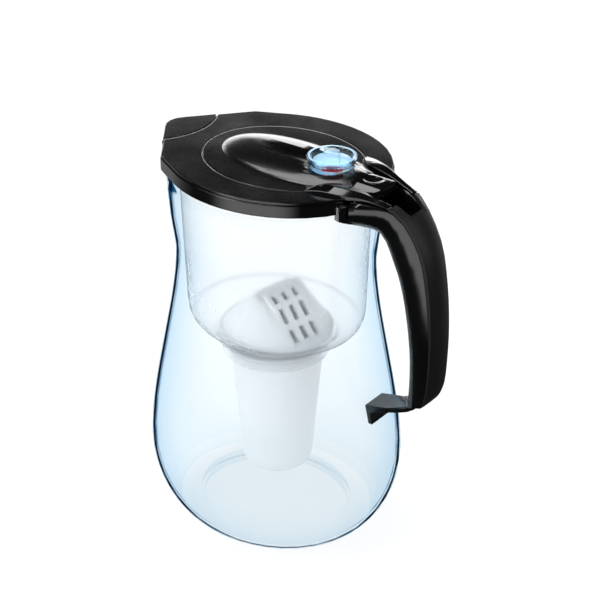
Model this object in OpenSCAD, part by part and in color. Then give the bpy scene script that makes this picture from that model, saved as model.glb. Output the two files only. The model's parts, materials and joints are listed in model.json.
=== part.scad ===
// Water filter pitcher: an oval clear jug with a spout and a handle, a clear hopper hanging in its mouth,
// a filter cartridge pushed into the hopper's socket, and a lid with a flip hatch and a spout flap.
// +X is the handle's side, -X the spout, +Z up. The origin is the middle of the foot, on the table.

/* [Jug] */
// Height of the jug at its rim
jug_h = 254; // [250:1:258]
// Width of every oval section over its length
oval = 0.87; // [0.84:0.01:0.9]
// Half length of the belly
belly_r = 88.6; // [86:0.2:91]
// Height of the widest point
belly_z = 54; // [48:1:60]
// Half length of the waist
waist_r = 67.2; // [66.6:0.1:68]
// Height of the waist
waist_z = 193; // [188:1:198]
// Half length of the neck above the waist
neck_r = 70.2; // [69.8:0.1:70.4]
// How far the rim band stands out of the neck
rim_band = 0.5; // [0.2:0.1:0.8]
// Half length of the ring that the jug stands on
foot_r = 56; // [52:1:60]
// Width of that ring
foot_w = 3; // [2:0.5:5]
// Height of the hollow under the floor
punt_h = 7.4; // [4:0.2:9]
// Wall of the jug
jug_wall = 2.6; // [2:0.1:3]
// How far the neck leans toward the handle
lean = 2; // [0:0.2:3]

/* [Beak] */
// How far the lid's spout stands out of its oval
beak_out = 15.8; // [14.4:0.2:16.8]
// How far the corner where the lid's edge turns into the spout stands behind the oval's end
shoulder_back = 17.5; // [16.7:0.1:18.2]
// How far that corner stands inside the oval's half width
shoulder_in = 18.3; // [17.9:0.1:18.7]
// Angle of the spout's sides to the centre line
beak_turn = 51.3; // [51:0.1:52]
// Angle of the lid's edge just before the corner
shoulder_turn = 25.5; // [24:0.5:27]
// How far the jug's own spout lies inside the lid's edge
beak_inset = 3; // [2.8:0.1:3.4]
// Height where the spout starts to leave the neck
spout_low = 196; // [180:1:210]

/* [Hopper] */
// How far the hopper's wall stands inside the jug's neck
hopper_inset = 6.6; // [6.2:0.1:8]
// Half length where its wall turns into the floor
hopper_low_r = 60.4; // [58:0.1:61]
// Height of the underside of its floor at the walls
hopper_floor_z = 149; // [146:0.5:152]
// Wall of the hopper
hopper_wall = 1.8; // [1.4:0.1:2.2]
// Thickness of the flange that hangs on the jug's rim
flange_t = 1.6; // [1.2:0.1:2]
// Depth of the overflow notch at the spout
notch_d = 2.6; // [2.2:0.1:4]

/* [Cartridge] */
// Radius of the socket's bore
socket_r = 32.4; // [31:0.1:33]
// Height of the socket's lower edge
socket_z = 126; // [122:0.5:128]
// Height of the seat that the cartridge's flange rests on
seat_z = 139.4; // [138:0.2:141]
// Wall of the socket
socket_wall = 2.4; // [2:0.1:2.6]
// Radius of the cartridge's flange
flange_r = 37; // [36:0.2:37.4]
// Radius of the cup at its top
cup_r = 30; // [28:0.2:30.6]
// Radius of the cup at its bottom
cup_low_r = 23; // [20:0.5:26]
// Height of the cup's bottom
cup_z = 37; // [30:1:50]
// Wall of the cup
cup_wall = 1.8; // [1.2:0.1:2.4]
// Height of the cap's ridge above the seat
cap_h = 30; // [24:0.5:36]
// Half length of the ridge
ridge_y = 17; // [12:0.5:20]
// How far the cartridge is turned in its socket
cap_turn = 9; // [0:1:30]

/* [Lid] */
// How far the middle of the lid's oval edge stands behind the neck's
lid_shift = 3; // [2.6:0.1:3.4]
// How far that oval stands out of the neck's length
lid_over = 4; // [3.6:0.1:4.4]
// How far it stands out of the neck's width
lid_side = 3.4; // [3.1:0.1:4.4]
// Height of the lid's flat edge above the jug's rim
lid_rise = 8.3; // [8:0.1:8.8]
// How far the gloss skirt hangs below that edge
skirt_drop = 9.5; // [9:0.1:10]
// Thickness of the skirt
skirt_t = 2.2; // [1.8:0.1:2.2]
// Half width of the spout flap where its gap meets the edge
flap_y = 24.5; // [23:0.5:25]
// How far inside the oval the flap's gap meets the edge
flap_in = 1.6; // [1:0.1:2.2]
// How far the gap bulges into the lid
flap_bulge = 7.6; // [6.6:0.2:8]
// Width of that gap, which the flap's rear edge needs to swing
flap_gap = 1.2; // [1.1:0.05:1.3]

/* [Hatch] */
// How far the middle of the hatch's oval stands behind the lid's
hatch_shift = 4; // [3:0.5:5]
// Width of the lid's rim before and behind the hatch
rim_a = 20.2; // [19.7:0.1:22.2]
// Width of the lid's rim beside the hatch
rim_b = 20.4; // [19.4:0.1:22.4]
// How far the hatch hinge's axis lies inside the lid's edge
hinge_in = 3.2; // [2.8:0.1:3.6]
// Depth of that axis below the lid's flat edge
hinge_drop = 3.1; // [2.9:0.1:3.3]
// Radius of the hinge pin
pin_r = 1.6; // [1.4:0.1:1.8]
// Length of the thumb tab behind the hinge
tab_l = 12; // [10:0.2:12.6]
// Height of the tab's ridge above the lid's flat edge
tab_rise = 5.1; // [4:0.1:5.6]
// Height of the gloss dome's crest above that edge
dome_rise = 5.9; // [5.4:0.1:6.6]
// Half width of the dome
dome_y = 26; // [24:0.5:28]

/* [Dial] */
// How far the middle of the dial stands before the hinge
dial_before = 30.2; // [29.4:0.2:32]
// Radius of the knob's rim
dial_r = 15.4; // [15:0.1:15.8]
// Radius of the knob's foot in the dome
dial_foot = 13; // [12.4:0.1:13.4]
// Height of the knob's top above the dome's crest
dial_rise = 5.7; // [5.2:0.1:6.2]
// Radius of the knob's stem
stem_r = 3; // [2.4:0.1:3.4]
// Way that the knob's grip points at rest
dial_turn = 128; // [0:1:359]

/* [Handle] */
// Half width of the grip
grip_y = 10.6; // [10:0.2:11.4]
// How far the soft back bulges
crown = 2.2; // [1.4:0.2:3]
// Half width of the collar at the rim
collar_y = 25.2; // [24.6:0.1:25.6]
// Angle of the collar's ends to the centre line
collar_turn = 32; // [30:0.5:34]
// Half width of the foot plate
foot_y = 9; // [7:0.5:10]
// Thickness of the foot's flange
foot_t = 2.8; // [2:0.2:4]
// Radius of the handle screw's shank
screw_r = 1.5; // [1.2:0.1:1.8]

/* [Fits] */
// Gap between pieces that lift apart
gap = 0.4; // [0.3:0.05:0.5]
// Radial play of a hinge pin or stem
play = 0.06; // [0.04:0.01:0.1]

/* [Hidden] */
$fn = 64;

sides = 56;            // points round each oval ring
crowding = 0.5;        // how much closer the points stand at the spout
degree = 180 / PI;
rim_r = neck_r + rim_band;
flange_z = jug_h + flange_t;
hopper_r = neck_r - hopper_inset;
lid_x = lean + lid_shift;    // middle, half length and half width of the lid's oval
lid_a = neck_r + lid_over;
lid_b = neck_r * oval + lid_side;
tip_x = lid_x - lid_a - beak_out;
flap_x = lid_x - lid_a + flap_in;
shoulder_x = lid_x - lid_a + shoulder_back;
shoulder_y = lid_b - shoulder_in;
hatch_x = lid_x + hatch_shift;
hatch_a = lid_a - rim_a;
hatch_b = lid_b - rim_b;
hinge_x = lid_x + lid_a - hinge_in;
tab_x = hinge_x + tab_l;
dial_x = hinge_x - dial_before;
lid_z = jug_h + lid_rise;    // top of the lid's flat edge
skirt_z = lid_z - skirt_drop;
hinge_z = lid_z - hinge_drop;
tab_z = lid_z + tab_rise;
dome_z = lid_z + dome_rise;
dial_z = dome_z + dial_rise;
ledge_z = lid_z - 1.8;       // where the hatch rests
under_z = ledge_z - 2.1;     // underside of the lid plate
shelf_z = ledge_z - 0.1;     // top of the collar where it stands outside the lid
collar_z = under_z - gap;    // top of the collar under the lid
hole_a = hatch_a - 8;        // fill opening
hole_b = hatch_b - 8;

// ---- curves -------------------------------------------------------------------------------------
function smooth(t) = t <= 0 ? 0 : t >= 1 ? 1 : t * t * (3 - 2 * t);
function mix(a, b, t) = a + (b - a) * t;
function bezier(p, t) =
  pow(1 - t, 3) * p[0] + 3 * pow(1 - t, 2) * t * p[1] + 3 * (1 - t) * t * t * p[2] + pow(t, 3) * p[3];
function curve(p, n, from = 0) = [for (i = [from:n]) bezier(p, i / n)];
// A smooth line through the knots p, read at t from 0 to len(p) - 1.
function knot(p, i) = p[max(0, min(len(p) - 1, i))];
function through(p, t) =
  let (i = min(len(p) - 2, floor(t)), f = t - i, a = knot(p, i - 1), b = knot(p, i), c = knot(p, i + 1),
       d = knot(p, i + 2))
  0.5 * (2 * b + (c - a) * f + (2 * a - 5 * b + 4 * c - d) * f * f + (3 * b - a - 3 * c + d) * f * f * f);

// A closed skin over rings of equal length, with a flat cap at each end.
module loft(rings) {
  n = len(rings[0]);
  m = len(rings);
  polyhedron(
    points = [for (r = rings) each r],
    faces = concat(
      [[for (i = [0:n - 1]) i]],
      [for (k = [0:m - 2], i = [0:n - 1])
        let (a = k * n + i, b = k * n + (i + 1) % n) each [[a, a + n, b + n], [a, b + n, b]]],
      [[for (i = [n - 1:-1:0]) (m - 1) * n + i]]));
}

// A slab with an outline and an optional hole, from z0 to z1.
module slab(outline, z0, z1, hole = []) {
  n = len(outline);
  translate([0, 0, z0]) linear_extrude(z1 - z0)
    polygon(concat(outline, hole), paths = len(hole) == 0 ? undef :
      [[for (i = [0:n - 1]) i], [for (i = [0:len(hole) - 1]) n + i]]);
}

// A shape drawn in the X-Z plane and given a width along Y.
module side_slab(outline, width) {
  rotate([90, 0, 0]) translate([0, 0, -width / 2]) linear_extrude(width) polygon(outline);
}

module cross_pin(x, z, r, length) {
  translate([x, length / 2, z]) rotate([90, 0, 0]) cylinder(r = r, h = length);
}

// ---- plan of the lid and the spout --------------------------------------------------------------
function oval_r(th, a, b) = a * b / sqrt(pow(b * cos(th), 2) + pow(a * sin(th), 2));
function across(turn) = [-sin(turn), cos(turn)];
function to_line(th, turn, cx, inset) =
  let (n = across(turn), u = [cos(th), abs(sin(th))])
  n * u <= 0.01 ? 1e4 : (n * [shoulder_x, shoulder_y] - inset - n[0] * cx) / (n * u);
beak_reach = across(beak_turn) * [shoulder_x, shoulder_y];
tip_r = (beak_reach - across(beak_turn)[0] * tip_x) / (1 + across(beak_turn)[0]);
function to_tip(th, cx, inset) =
  let (c = tip_x + tip_r - cx, s = c * sin(th)) c * cos(th) + sqrt(max(0, pow(tip_r - inset, 2) - s * s));
function beak_r(th, cx, inset) =
  let (r = min(to_line(th, beak_turn, cx, inset), to_line(th, shoulder_turn, cx, inset)))
  cos(th) < 0 && r * abs(sin(th)) < (tip_r - inset) * across(beak_turn)[1] ? to_tip(th, cx, inset) : r;
// How far the spout stands out of an oval, beyond the place where the lid's edge leaves the oval.
function bulge(th, a, b, cx, inset) =
  let (n = across(shoulder_turn), side = atan2(abs(sin(th)), cos(th)))
  side < atan2(b * b * n[1], a * a * n[0]) ? 0 : max(0, beak_r(th, cx, inset) - oval_r(th, a, b));
function ring_angle(i) = 360 * i / sides + degree * crowding * sin(360 * i / sides);
function oval_outline(cx, a, b) =
  [for (i = [0:sides - 1]) let (th = ring_angle(i)) [cx + oval_r(th, a, b) * cos(th), oval_r(th, a, b) * sin(th)]];
function lid_outline(inset) =
  [for (i = [0:sides - 1])
    let (th = ring_angle(i), a = lid_a - inset, b = lid_b - inset, r = oval_r(th, a, b) + bulge(th, a, b, lid_x, inset))
    [lid_x + r * cos(th), r * sin(th)]];

// ---- jug ----------------------------------------------------------------------------------------
function lean_at(z) = lean * smooth(z / jug_h);
jug_outer = concat(
  curve([[foot_r, 0], [foot_r + 14, 1], [belly_r, 24], [belly_r, belly_z]], 7),
  curve([[belly_r, belly_z], [belly_r, belly_z + 41], [waist_r + 2.3, waist_z - 43], [waist_r, waist_z]], 7, 1),
  curve([[waist_r, waist_z], [waist_r, waist_z + 15], [neck_r, waist_z + 19], [neck_r, waist_z + 47]], 4, 1),
  [[neck_r, jug_h - 7.5], [neck_r + rim_band, jug_h - 6.7], [neck_r + rim_band, jug_h]]);
jug_sides = len(jug_outer) - 3;
function inward(i) =
  let (d = knot(jug_outer, i + 1) - knot(jug_outer, i - 1)) jug_outer[i] + jug_wall * [-d[1], d[0]] / norm(d);
jug_inner = concat([for (i = [0:jug_sides - 1]) inward(i)], [[neck_r - jug_wall, jug_h]]);
function jug_ring(p, wall) =
  [for (i = [0:sides - 1])
    let (th = ring_angle(i), rim = neck_r - wall,
         r = oval_r(th, p[0], p[0] * oval) + bulge(th, rim, rim * oval, lean, beak_inset + wall) *
             smooth((p[1] - spout_low) / (jug_h - spout_low)))
    [lean_at(p[1]) + r * cos(th), r * sin(th), p[1]]];

lug_x = lean + neck_r + 6.4;       // the lug that the collar slides over
lug_y = 9;
lug_z = [jug_h - 8, jug_h - 3];
screw_x = lug_x - 3.4;
screw_z = lug_z[0] - 3.8;          // underside of the screw's head

module jug() color([0.62, 0.8, 0.95, 0.5]) difference() {
  union() {
    loft(concat(
      [jug_ring([foot_r - foot_w - 1.6, punt_h], 0), jug_ring([foot_r - foot_w, 0], 0)],
      [for (p = jug_outer) jug_ring(p, 0)],
      [for (i = [len(jug_inner) - 1:-1:0]) jug_ring(jug_inner[i], jug_wall)],
      [jug_ring([foot_r - foot_w + 0.6, punt_h + jug_wall + 0.4], jug_wall)]));
    translate([lean + neck_r - 1.4, -lug_y, lug_z[0]])
      cube([lug_x - lean - neck_r + 1.4, 2 * lug_y, lug_z[1] - lug_z[0]]);
  }
  translate([screw_x, 0, lug_z[0] - 1]) cylinder(r = screw_r + 0.02, h = 5);
}

// ---- hopper -------------------------------------------------------------------------------------
module oval_turn(profile) {
  translate([lean, 0, 0]) scale([1, oval, 1]) rotate_extrude($fn = 96) polygon(profile);
}
function hopper_profile(t, top_r, top) =
  concat(
    [[0, seat_z - 2.4 + t], [socket_r + 4, seat_z - 2.4 + t]],
    curve([[44, seat_z + 1.6 + t], [52, hopper_floor_z - 3.4 + t],
           [hopper_low_r - t, hopper_floor_z - 2 + t], [hopper_low_r - t + 0.2, hopper_floor_z + 13]], 6),
    [[top_r, top], [0, top]]);

module hopper() color([0.86, 0.92, 0.96, 0.5]) difference() {
  union() {
    oval_turn(hopper_profile(0, hopper_r, jug_h + 0.2));
    oval_turn([[0, jug_h], [neck_r - 0.4, jug_h], [neck_r - 0.4, flange_z], [0, flange_z]]);
    translate([lean, 0, socket_z]) cylinder(r = socket_r + socket_wall, h = seat_z - socket_z);
    translate([lean, 0, socket_z]) cylinder(r = socket_r + socket_wall + 0.5, h = 2);
    translate([lean, 0, seat_z - 2.4]) cylinder(r = flange_r + 2.8, h = 6);
  }
  oval_turn(hopper_profile(hopper_wall, hopper_r - hopper_wall, flange_z + 1));
  translate([lean, 0, seat_z]) cylinder(r = flange_r + gap, h = 12);
  translate([lean, 0, socket_z - 1]) cylinder(r = socket_r, h = seat_z - socket_z + 2);
  // the flange stops short of the spout, and its wall dips there so that an overfilled hopper spills back
  difference() {
    translate([tip_x - 15, -60, jug_h - 0.1]) cube([lid_x - 51 - tip_x + 15, 120, 4]);
    translate([lean, 0, jug_h - 1]) scale([1, oval, 1]) cylinder(r = hopper_r + 0.6, h = 6, $fn = 96);
  }
  translate([-80, -24, flange_z - notch_d]) cube([30, 48, notch_d + 1]);
}

// ---- cartridge ----------------------------------------------------------------------------------
neck_low = socket_z - 2;             // where the cup leaves the socket
plug_r = socket_r - 1;               // the part that fills the socket
seal_z = seat_z - 5;
cap_z = seat_z + 2.4;

module on_axis() { translate([lean, 0, 0]) children(); }

module cartridge_cup() color([0.95, 0.95, 0.96]) on_axis() difference() {
  rotate_extrude() polygon(concat(
    [[0, cup_z]],
    curve([[cup_low_r - 8, cup_z], [cup_low_r - 3, cup_z + 0.4], [cup_low_r, cup_z + 3], [cup_low_r + 0.6, cup_z + 9]], 5),
    [[cup_r, neck_low - 6], [plug_r - 0.6, neck_low], [plug_r, neck_low + 1.5], [plug_r, seal_z - 1.2],
     [plug_r - 1.6, seal_z - 1.2], [plug_r - 1.6, seal_z + 1.2], [plug_r, seal_z + 1.2], [plug_r, seat_z],
     [flange_r, seat_z], [flange_r, cap_z], [plug_r - 3.6, cap_z], [plug_r - 3.6, neck_low + 2],
     [cup_r - cup_wall, neck_low - 7], [cup_low_r - cup_wall + 0.6, cup_z + 10], [cup_low_r - 5, cup_z + cup_wall],
     [0, cup_z + cup_wall]]));
  for (turn = [0:45:315])
    rotate([0, 0, turn]) translate([7, -1, cup_z - 1]) cube([9, 2, cup_wall + 2]);
}

module tent(r, low, half, wide, top) {
  hull() {
    translate([0, 0, low]) cylinder(r = r, h = 1.6, $fn = 48);
    for (y = [-half, half]) translate([0, y, top - wide]) sphere(r = wide, $fn = 16);
  }
}
slot_rows = 3;
slot_columns = 3;
slot_gap = 8.6;
slot_w = 4;
cap_top = seat_z + cap_h;
band_y = 13.4;                         // half width of the slotted band over the ridge
band_side = [[flange_r - 7.2, cap_z], [flange_r - 15.4, cap_z + 10.4], [flange_r - 25.2, cap_top - 5.6],
             [flange_r - 32.4, cap_top - 0.5], [2.4, cap_top]];
function band_outline(t) = concat(
  [for (p = band_side) [p[0] - t, p[1] - t]],
  [for (i = [len(band_side) - 1:-1:0]) [t - band_side[i][0], band_side[i][1] - t]]);
module cartridge_cap() color([0.78, 0.83, 0.85]) on_axis() rotate([0, 0, -cap_turn]) difference() {
  union() {
    difference() {
      tent(flange_r - 1.6, cap_z, ridge_y, 4, cap_top);
      // the band's two slopes lie a little deeper than the cone beside them
      for (side = [0, 180]) rotate([0, 0, side])
        side_slab(concat([band_side[0] + [0, 1.4]], [for (i = [1:4]) band_side[i]],
                         [[2.4, cap_top + 6], [flange_r, cap_top + 6], [flange_r, cap_z + 1.4]]), 2 * band_y);
    }
    translate([0, 0, cap_z]) cylinder(r = flange_r - 0.6, h = 1.4);
    side_slab(band_outline(0), 2 * band_y);
  }
  tent(flange_r - 8.6, cap_z - 0.2, ridge_y - 2, 2.2, cap_top - 2.4);
  side_slab(band_outline(1.6), 2 * band_y - 3.2);
  // slots through both slopes of the band, square to its surface
  for (side = [0, 180], row = [0:slot_rows - 1], column = [0:slot_columns - 1])
    let (a = band_side[row], b = band_side[row + 1], m = mix(a, b, 0.47), turn = atan2(a[1] - b[1], b[0] - a[0]))
    rotate([0, 0, side]) translate([m[0], (column - 1) * slot_gap, m[1]]) rotate([0, turn, 0])
      cube([0.68 * norm(b - a), slot_w, 6], center = true);
}

module cartridge_seal() color([0.2, 0.2, 0.22]) on_axis()
  translate([0, 0, seal_z]) rotate_extrude() translate([plug_r - 0.35, 0]) circle(r = 1.1, $fn = 24);

media_low = cup_z + cup_wall + 2.4;
media_top = seat_z - 4;
module filter_media() color([0.3, 0.3, 0.32]) on_axis() rotate_extrude() polygon([
  [0, media_low], [cup_low_r - 4.6, media_low], [cup_low_r - 1.9, media_low + 9], [cup_r - cup_wall - 0.8, neck_low - 7],
  [plug_r - 4.1, neck_low + 2], [plug_r - 4.1, media_top], [0, media_top]]);
module bottom_pad() color([0.94, 0.94, 0.92]) on_axis()
  translate([0, 0, cup_z + cup_wall]) cylinder(r = cup_low_r - 5.4, h = 2.2);
module top_pad() color([0.94, 0.94, 0.92]) on_axis()
  translate([0, 0, media_top]) cylinder(r = plug_r - 4.1, h = 2.2);

// ---- lid ----------------------------------------------------------------------------------------
flap_arc = (flap_y * flap_y + flap_bulge * flap_bulge) / (2 * flap_bulge);
flap_middle = flap_x + flap_bulge - flap_arc;
flap_pivot_x = flap_x + 1.4;
flap_pivot_z = lid_z - 1.4;
flap_pin_r = 1;
neck_y = 12.6;                  // half width of the hatch's neck at the hinge
ear_y = [neck_y + 1, neck_y + 5];
ear_r = 3.1;

module beyond_flap_gap(extra) {
  translate([flap_middle, 0, skirt_z - 20]) cylinder(r = flap_arc + extra, h = 60, $fn = 96);
}

// Right-hand edge of the hatch's neck, from its oval to the thumb tab.
neck_edge = concat(
  curve([[hatch_x + hatch_a * 0.72, hatch_b * 0.69], [hinge_x - 25.5, 22], [hinge_x - 18, 15],
         [hinge_x - 4, neck_y]], 6),
  [[hinge_x + 4, neck_y - 0.8], [tab_x - 3, neck_y - 2], [tab_x - 0.8, neck_y - 4], [tab_x, neck_y - 8]]);
function hatch_outline(extra) =
  concat(
    [for (p = neck_edge) [p[0] + (p[0] > tab_x - 1 ? extra : 0), p[1] + extra]],
    [for (i = [len(neck_edge) - 1:-1:0]) let (p = neck_edge[i]) [p[0] + (p[0] > tab_x - 1 ? extra : 0), -p[1] - extra]],
    [for (i = [1:35]) let (th = -43.9 - 272.2 * i / 36)
      [hatch_x + (hatch_a + extra) * cos(th), (hatch_b + extra) * sin(th)]]);

// The lug that holds a hinge pin beside the hatch's neck, and the one beside the spout flap.
module hinge_ear(extra = 0) {
  translate([hinge_x - ear_r - 1 - extra, ear_y[0] - extra, hinge_z - ear_r])
    cube([2 * ear_r + 2 + 2 * extra, ear_y[1] - ear_y[0] + 2 * extra, ledge_z + 0.4 + extra - hinge_z + ear_r]);
}
module flap_lug(side, extra = 0) {
  translate([0, side * (flap_y + 0.6), 0]) cross_pin(flap_pivot_x, flap_pivot_z - 1.2, 2.4 + extra, 3.6 + 2 * extra);
}

module lid_plate() color([0.16, 0.16, 0.17]) {
  difference() {
    union() {
      slab(lid_outline(0.8), ledge_z, lid_z);
      slab(lid_outline(skirt_t + 0.1), under_z, ledge_z + 0.01);
      // the rib that seats on the hopper's flange and the one that centres the lid in its mouth
      slab(oval_outline(lean, neck_r - 2.2, (neck_r - 2.2) * oval), flange_z, under_z + 0.01,
           oval_outline(lean, neck_r - 4, (neck_r - 4) * oval));
      slab(oval_outline(lean, hopper_r - hopper_wall - 1, (hopper_r - hopper_wall - 1) * oval), flange_z - 3.4,
           under_z + 0.01, oval_outline(lean, hopper_r - hopper_wall - 2.6, (hopper_r - hopper_wall - 2.6) * oval));
      for (side = [-1, 1]) {
        mirror([0, side > 0 ? 0 : 1, 0]) hinge_ear();
        flap_lug(side);
      }
    }
    slab(hatch_outline(0.6), ledge_z, lid_z + 1);
    slab(oval_outline(hatch_x, hole_a, hole_b), skirt_z - 5, ledge_z + 1);
    translate([hinge_x - 11, -neck_y - 0.9, skirt_z - 5]) cube([40, 2 * neck_y + 1.8, 20]);
    beyond_flap_gap(flap_gap);
    translate([tip_x - 5, -24, skirt_z - 5]) cube([32, 48, under_z - skirt_z + 5]);
    // room for the flap's knuckles
    translate([tip_x - 5, 3.2 - flap_y, skirt_z - 5])
      cube([flap_pivot_x + 8.3 - tip_x, 2 * flap_y - 6.4, flap_pivot_z + 4.8 - skirt_z]);
    for (side = [-1, 1]) {
      translate([0, side * ear_y[0] + side * 2, 0]) cross_pin(hinge_x, hinge_z, pin_r + 0.01, 8);
      translate([0, side * flap_y, 0]) cross_pin(flap_pivot_x, flap_pivot_z, flap_pin_r + 0.01, 8);
    }
  }
}

// The plan of the collar, whose ends stand square to the neck.
function collar_wedge(extra) =
  let (u = [cos(collar_turn), sin(collar_turn)], p = [lean + neck_r * 0.93, collar_y + extra], a = p - 20 * u,
       b = p + 30 * u)
  [a, b, [b[0], -b[1]], [a[0], -a[1]]];

module lid_skirt() color([0.05, 0.05, 0.05]) difference() {
  slab(lid_outline(0), skirt_z, ledge_z, lid_outline(skirt_t));
  beyond_flap_gap(flap_gap);
  slab(collar_wedge(1.2), skirt_z - 1, skirt_z + 20);
  slab(oval_outline(lean, rim_r + gap, rim_r * oval + gap), skirt_z - 1, jug_h + gap);
  for (side = [-1, 1]) flap_lug(side, 0.1);
}

// A wing fills the corner between the hatch's neck and the lid's edge and runs back over the handle's shoulder.
wing_stations = 15;
wing_out = [[hatch_x + hatch_a * 0.72 + 1.5, hatch_b * 0.69 + 0.8], [hinge_x - 18, 28.6], [hinge_x - 5, 24.8],
            [hinge_x + 8, 18.2], [hinge_x + 21.6, 15.2]];
wing_inner = [[hatch_x + hatch_a * 0.72 + 0.6, hatch_b * 0.69 - 0.4], [hinge_x - 22, 20.4], [hinge_x - 12, 15.8],
              [hinge_x + 4, 13], [hinge_x + 21.6, 10.8]];
wing_low = [lid_z, lid_z, shelf_z + 0.5, shelf_z + 0.5, lid_z - 3];
wing_edge = [lid_z + 0.6, lid_z + 1.9, lid_z + 1.5, lid_z + 0.2, lid_z - 2.7];
wing_top = [lid_z + 1, lid_z + 3.3, lid_z + 4.3, lid_z + 2.7, lid_z - 1.9];
wing_crest = [0.1, 0.2, 0.6, 0.65, 0.6];       // where the crest stands between the inner and the outer edge
hatch_back = 1.4;                              // how far the hatch's edge moves back while it passes the wing
module wing(side) {
  rings = [for (k = [0:wing_stations - 1])
    let (t = 4 * k / (wing_stations - 1), a = through(wing_inner, t), b = through(wing_out, t), top = through(wing_top, t),
         low = through(wing_low, t), c = mix(a, b, through(wing_crest, t)))
    [[a[0], a[1], low], [b[0], b[1], low], [b[0], b[1], through(wing_edge, t)], [c[0], c[1], top],
     [a[0], a[1], top - 0.3]]];
  mirror([0, side > 0 ? 0 : 1, 0]) difference() {
    loft(rings);
    slab(lid_outline(0.8), ledge_z - 5, lid_z);
    // the hatch's edge moves back a little as it lifts past the wing
    for (back = [0, hatch_back]) translate([back, 0, 0]) slab(hatch_outline(gap), ledge_z - 5, dome_z);
    hinge_ear(0.1);
  }
}
module left_wing() color([0.05, 0.05, 0.05]) wing(1);
module right_wing() color([0.05, 0.05, 0.05]) wing(-1);

module hatch_pin() color([0.7, 0.7, 0.72]) cross_pin(hinge_x, hinge_z, pin_r, 2 * ear_y[1]);
module flap_pins() color([0.1, 0.1, 0.1]) for (side = [-1, 1])
  translate([0, side * (flap_y - 1.7), 0]) cross_pin(flap_pivot_x, flap_pivot_z, flap_pin_r, 7.4);

// ---- hatch --------------------------------------------------------------------------------------
function egg(x0, x1, w, inset) =
  [for (i = [0:39]) let (th = 9 * i)
    [(x0 + x1) / 2 + ((x1 - x0) / 2 - inset) * cos(th), (w - inset) * sin(th) * (1 - 0.18 * cos(th))]];
dome_x = [hatch_x - hatch_a + 9, hinge_x + 8];
hollow_x = dome_x[1] - 18;      // where the hollow under the dome ends
dome_end = hinge_x - 6;         // where the dome meets the tail
function dome_ring(inset, z, end = dome_x[1]) = [for (p = egg(dome_x[0], end, dome_y, inset)) [p[0], p[1], z]];
dome_base = lid_z;

tail_half = [[neck_y, skirt_z], [neck_y, tab_z - 3.8], [neck_y - 2.2, tab_z - 2.8], [neck_y - 5.2, tab_z - 1.4],
             [neck_y - 8.6, tab_z - 0.5], [0, tab_z]];
tail_roof = concat(tail_half, [for (i = [len(tail_half) - 2:-1:0]) [-tail_half[i][0], tail_half[i][1]]]);

module hatch_frame() color([0.14, 0.14, 0.15]) difference() {
  union() {
    slab(hatch_outline(0), ledge_z + 0.2, lid_z);
    cross_pin(hinge_x, hinge_z, 3, 2 * neck_y + 1);
    // the tail that carries the dome's rounded top from the barrel to the thumb tab
    difference() {
      intersection() {
        side_slab([[dome_end, ledge_z + 0.3], [hinge_x - 1, hinge_z - 2], [hinge_x + 3, hinge_z], [tab_x - 6, lid_z - 1.2],
                   [tab_x - 1.4, lid_z], [tab_x, tab_z - 3.4], [tab_x - 1, tab_z - 1.2], [tab_x - 3.6, tab_z],
                   [dome_end, tab_z]], 2 * neck_y - 1.6);
        rotate([90, 0, 90]) translate([0, 0, dome_end - 1]) linear_extrude(30) polygon(tail_roof);
      }
      translate([hinge_x + 0.6, 0, tab_z + 10.4]) sphere(r = 12.6, $fn = 48);
      difference() {
        translate([0, -30, skirt_z]) cube([100, 60, 40]);
        slab(hatch_outline(-0.1), skirt_z, lid_z + 40);
      }
    }
  }
  slab(egg(dome_x[0], hollow_x, dome_y, 4), ledge_z, lid_z + 1);
  cross_pin(hinge_x, hinge_z, pin_r + play, 60);
}

module hatch_dome() color([0.06, 0.06, 0.06]) difference() {
  intersection() {
    loft([dome_ring(0, dome_base), dome_ring(0.6, dome_base + 0.8), dome_ring(3, mix(dome_base, dome_z, 0.36)),
          dome_ring(7, mix(dome_base, dome_z, 0.62)), dome_ring(12, mix(dome_base, dome_z, 0.84)),
          dome_ring(18, mix(dome_base, dome_z, 0.97)), dome_ring(22, dome_z)]);
    slab(hatch_outline(-0.8), dome_base - 1, dome_z + 1);
  }
  difference() {
    loft([dome_ring(2.4, dome_base - 1, hollow_x), dome_ring(3.4, mix(dome_base, dome_z, 0.2), hollow_x),
          dome_ring(8, mix(dome_base, dome_z, 0.4), hollow_x), dome_ring(18, mix(dome_base, dome_z, 0.7), hollow_x)]);
    translate([dial_x, 0, dome_base]) cylinder(r = dial_foot + 2.4, h = 10);
  }
  translate([dial_x, 0, dome_base + 2]) cylinder(r = dial_foot + 0.7, h = 20);
  translate([dial_x, 0, dome_base - 5]) cylinder(r = stem_r + play, h = 20);
  translate([dial_x, 0, dome_base - 5]) cylinder(r = dial_foot - 4, h = 5.4);
  translate([dome_end, -30, skirt_z]) cube([40, 60, 30]);
}

module hatch_liner() color([0.14, 0.14, 0.15])
  slab(oval_outline(hatch_x, hole_a - 1.5, hole_b - 1.5), under_z, ledge_z + 0.2);

module dial_base() color([0.9, 0.93, 0.97]) translate([dial_x, 0, dome_base + 2]) difference() {
  cylinder(r = dial_foot + 0.4, h = 0.8);
  translate([0, 0, -1]) cylinder(r = stem_r + 0.5, h = 3);
}
mark_turn = 62;
module dial_mark() color([0.75, 0.2, 0.28]) translate([dial_x, 0, dome_base + 2.8])
  rotate([0, 0, dial_turn + 180 - mark_turn / 2])
    rotate_extrude(angle = mark_turn) translate([dial_foot - 3.4, 0]) square([3.6, 0.4]);

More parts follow.
